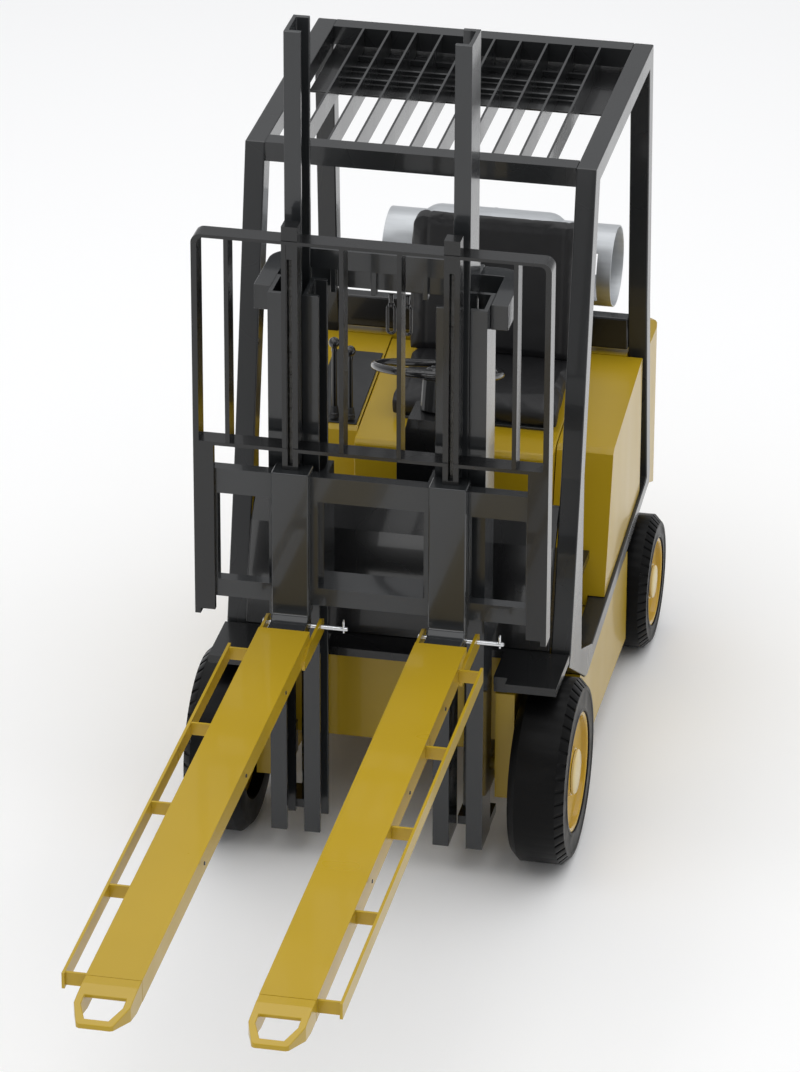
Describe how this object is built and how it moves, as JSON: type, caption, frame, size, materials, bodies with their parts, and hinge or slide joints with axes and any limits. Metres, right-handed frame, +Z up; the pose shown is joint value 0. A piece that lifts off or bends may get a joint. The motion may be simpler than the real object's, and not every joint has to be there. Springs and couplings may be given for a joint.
{
  "type": "forklift truck",
  "caption": "Counterbalanced forklift truck with a raised nested-rail mast, load backrest, gas cylinder and long fork extension sleeves.",
  "frame": {"origin": "centre of the outer box, on the ground", "axes": "+Z up, +Y to the rear of the truck, +X to the driver's left; the forks point along -Y"},
  "size_m": [1.15, 4.518, 2.656],
  "materials": {
    "yellow_paint": "semi-gloss",
    "black_paint": "semi-gloss",
    "mast_paint": "satin",
    "guard_paint": "satin",
    "rim_paint": "semi-gloss",
    "cylinder_silver": "satin",
    "bright_steel": "bright",
    "tyre": "smooth",
    "black_vinyl": "matte",
    "pad_rubber": "matte",
    "black_plastic": "gloss"
  },
  "bodies": {
    "chassis": {"hull": "yellow_paint", "counterweight": "yellow_paint", "cylinder_cradle": "black_paint", "gas_cylinder": "cylinder_silver", "floor_plate": "black_paint", "front_cowl": "black_paint", "side_cover_left": "yellow_paint", "side_cover_right": "yellow_paint", "console_pad": "pad_rubber", "steering_pedestal": "mast_paint", "guard_side_left": "guard_paint", "guard_side_right": "guard_paint", "guard_roof_grille": "guard_paint", "guard_roof_panel": "black_paint", "guard_rear_crossbar": "black_paint"},
    "bonnet": {"bonnet": "yellow_paint"},
    "seat": {"seat_frame": "mast_paint", "seat_cushion": "black_vinyl", "seat_back": "black_vinyl"},
    "lift_lever": {"lever_1": "black_plastic"},
    "tilt_lever": {"lever_2": "black_plastic"},
    "steering_wheel": {"steering_wheel": "black_plastic"},
    "front_wheel_left": {"front_tyre_left": "tyre", "front_rim_left": "rim_paint"},
    "front_wheel_right": {"front_tyre_right": "tyre", "front_rim_right": "rim_paint"},
    "knuckle_left": {"rear_knuckle_left": "mast_paint"},
    "knuckle_right": {"rear_knuckle_right": "mast_paint"},
    "rear_wheel_left": {"rear_tyre_left": "tyre", "rear_rim_left": "rim_paint"},
    "rear_wheel_right": {"rear_tyre_right": "tyre", "rear_rim_right": "rim_paint"},
    "mast_outer": {"mast_outer_rail_left": "mast_paint", "mast_outer_rail_right": "mast_paint", "mast_yoke": "mast_paint", "mast_outer_tie": "mast_paint", "lift_barrel_left": "black_paint", "lift_barrel_right": "black_paint"},
    "mast_middle": {"mast_middle_rail_left": "mast_paint", "mast_middle_rail_right": "mast_paint", "mast_middle_tie": "mast_paint"},
    "mast_inner": {"mast_inner_rail_left": "mast_paint", "mast_inner_rail_right": "mast_paint", "mast_inner_tie": "mast_paint"},
    "carriage": {"carriage": "mast_paint", "load_backrest": "mast_paint", "lift_chain_left": "bright_steel", "lift_chain_right": "bright_steel"},
    "fork_left": {"fork_left": "black_paint", "sleeve_left": "yellow_paint", "sleeve_tip_left": "yellow_paint", "side_rail_left": "yellow_paint"},
    "fork_right": {"fork_right": "black_paint", "sleeve_right": "yellow_paint", "sleeve_tip_right": "yellow_paint", "side_rail_right": "yellow_paint"},
    "pin_left": {"retaining_pin_left": "bright_steel"},
    "pin_right": {"retaining_pin_right": "bright_steel"}
  },
  "joints": [
    {"name": "front_wheel_spin_left", "type": "hinge", "parent": "chassis", "child": "front_wheel_left", "pos_m": [0.49, 0.36, 0.2805], "axis": [1, 0, 0], "continuous": true},
    {"name": "front_wheel_spin_right", "type": "hinge", "parent": "chassis", "child": "front_wheel_right", "pos_m": [-0.49, 0.36, 0.2805], "axis": [1, 0, 0], "continuous": true},
    {"name": "steering_turn", "type": "hinge", "parent": "chassis", "child": "steering_wheel", "pos_m": [0.02, 0.96, 1.275], "axis": [0, 0.342, 0.9397], "range_deg": [-270, 270]},
    {"name": "knuckle_steer_left", "type": "hinge", "parent": "chassis", "child": "knuckle_left", "pos_m": [0.39, 1.768, 0.215], "axis": [0, 0, 1], "range_deg": [-30, 30]},
    {"name": "knuckle_steer_right", "type": "hinge", "parent": "chassis", "child": "knuckle_right", "pos_m": [-0.39, 1.768, 0.215], "axis": [0, 0, 1], "range_deg": [-30, 30]},
    {"name": "rear_wheel_spin_left", "type": "hinge", "parent": "knuckle_left", "child": "rear_wheel_left", "pos_m": [0.504, 1.768, 0.215], "axis": [1, 0, 0], "continuous": true},
    {"name": "rear_wheel_spin_right", "type": "hinge", "parent": "knuckle_right", "child": "rear_wheel_right", "pos_m": [-0.504, 1.768, 0.215], "axis": [1, 0, 0], "continuous": true},
    {"name": "bonnet_open", "type": "hinge", "parent": "chassis", "child": "bonnet", "pos_m": [0.025, 1.745, 0.99796], "axis": [-1, 0, 0], "range_deg": [0, 28]},
    {"name": "seat_slide", "type": "slide", "parent": "bonnet", "child": "seat", "axis": [0, -0.9888, -0.1495], "range_m": [0, 0.1]},
    {"name": "lift_lever_push", "type": "hinge", "parent": "chassis", "child": "lift_lever", "pos_m": [-0.367, 1.265, 0.94438], "axis": [1, 0, 0], "range_deg": [-15, 15], "stiffness_Nm_per_rad": 6},
    {"name": "tilt_lever_push", "type": "hinge", "parent": "chassis", "child": "tilt_lever", "pos_m": [-0.317, 1.265, 0.94438], "axis": [1, 0, 0], "range_deg": [-15, 15], "stiffness_Nm_per_rad": 6},
    {"name": "mast_tilt", "type": "hinge", "parent": "chassis", "child": "mast_outer", "pos_m": [0, 0.36, 0.2805], "axis": [1, 0, 0], "range_deg": [-6, 5]},
    {"name": "middle_stage_lift", "type": "slide", "parent": "mast_outer", "child": "mast_middle", "axis": [0, 0, 1], "range_m": [-0.8, 0]},
    {"name": "inner_stage_lift", "type": "slide", "parent": "mast_outer", "child": "mast_inner", "axis": [0, 0, 1], "range_m": [0, 0.8]},
    {"name": "carriage_lift", "type": "slide", "parent": "mast_inner", "child": "carriage", "axis": [0, 0, 1], "range_m": [-0.38, 0.45]},
    {"name": "fork_spread_left", "type": "slide", "parent": "carriage", "child": "fork_left", "axis": [1, 0, 0], "range_m": [-0.06, 0.17]},
    {"name": "fork_spread_right", "type": "slide", "parent": "carriage", "child": "fork_right", "axis": [-1, 0, 0], "range_m": [-0.06, 0.17]},
    {"name": "pin_pull_left", "type": "slide", "parent": "fork_left", "child": "pin_left", "axis": [-1, 0, 0], "range_m": [0, 0.18]},
    {"name": "pin_pull_right", "type": "slide", "parent": "fork_right", "child": "pin_right", "axis": [-1, 0, 0], "range_m": [0, 0.18]}
  ],
  "couplings": [
    {"joint": "knuckle_steer_left", "follows": "steering_turn", "ratio": -0.1111},
    {"joint": "knuckle_steer_right", "follows": "steering_turn", "ratio": -0.1111}
  ]
}
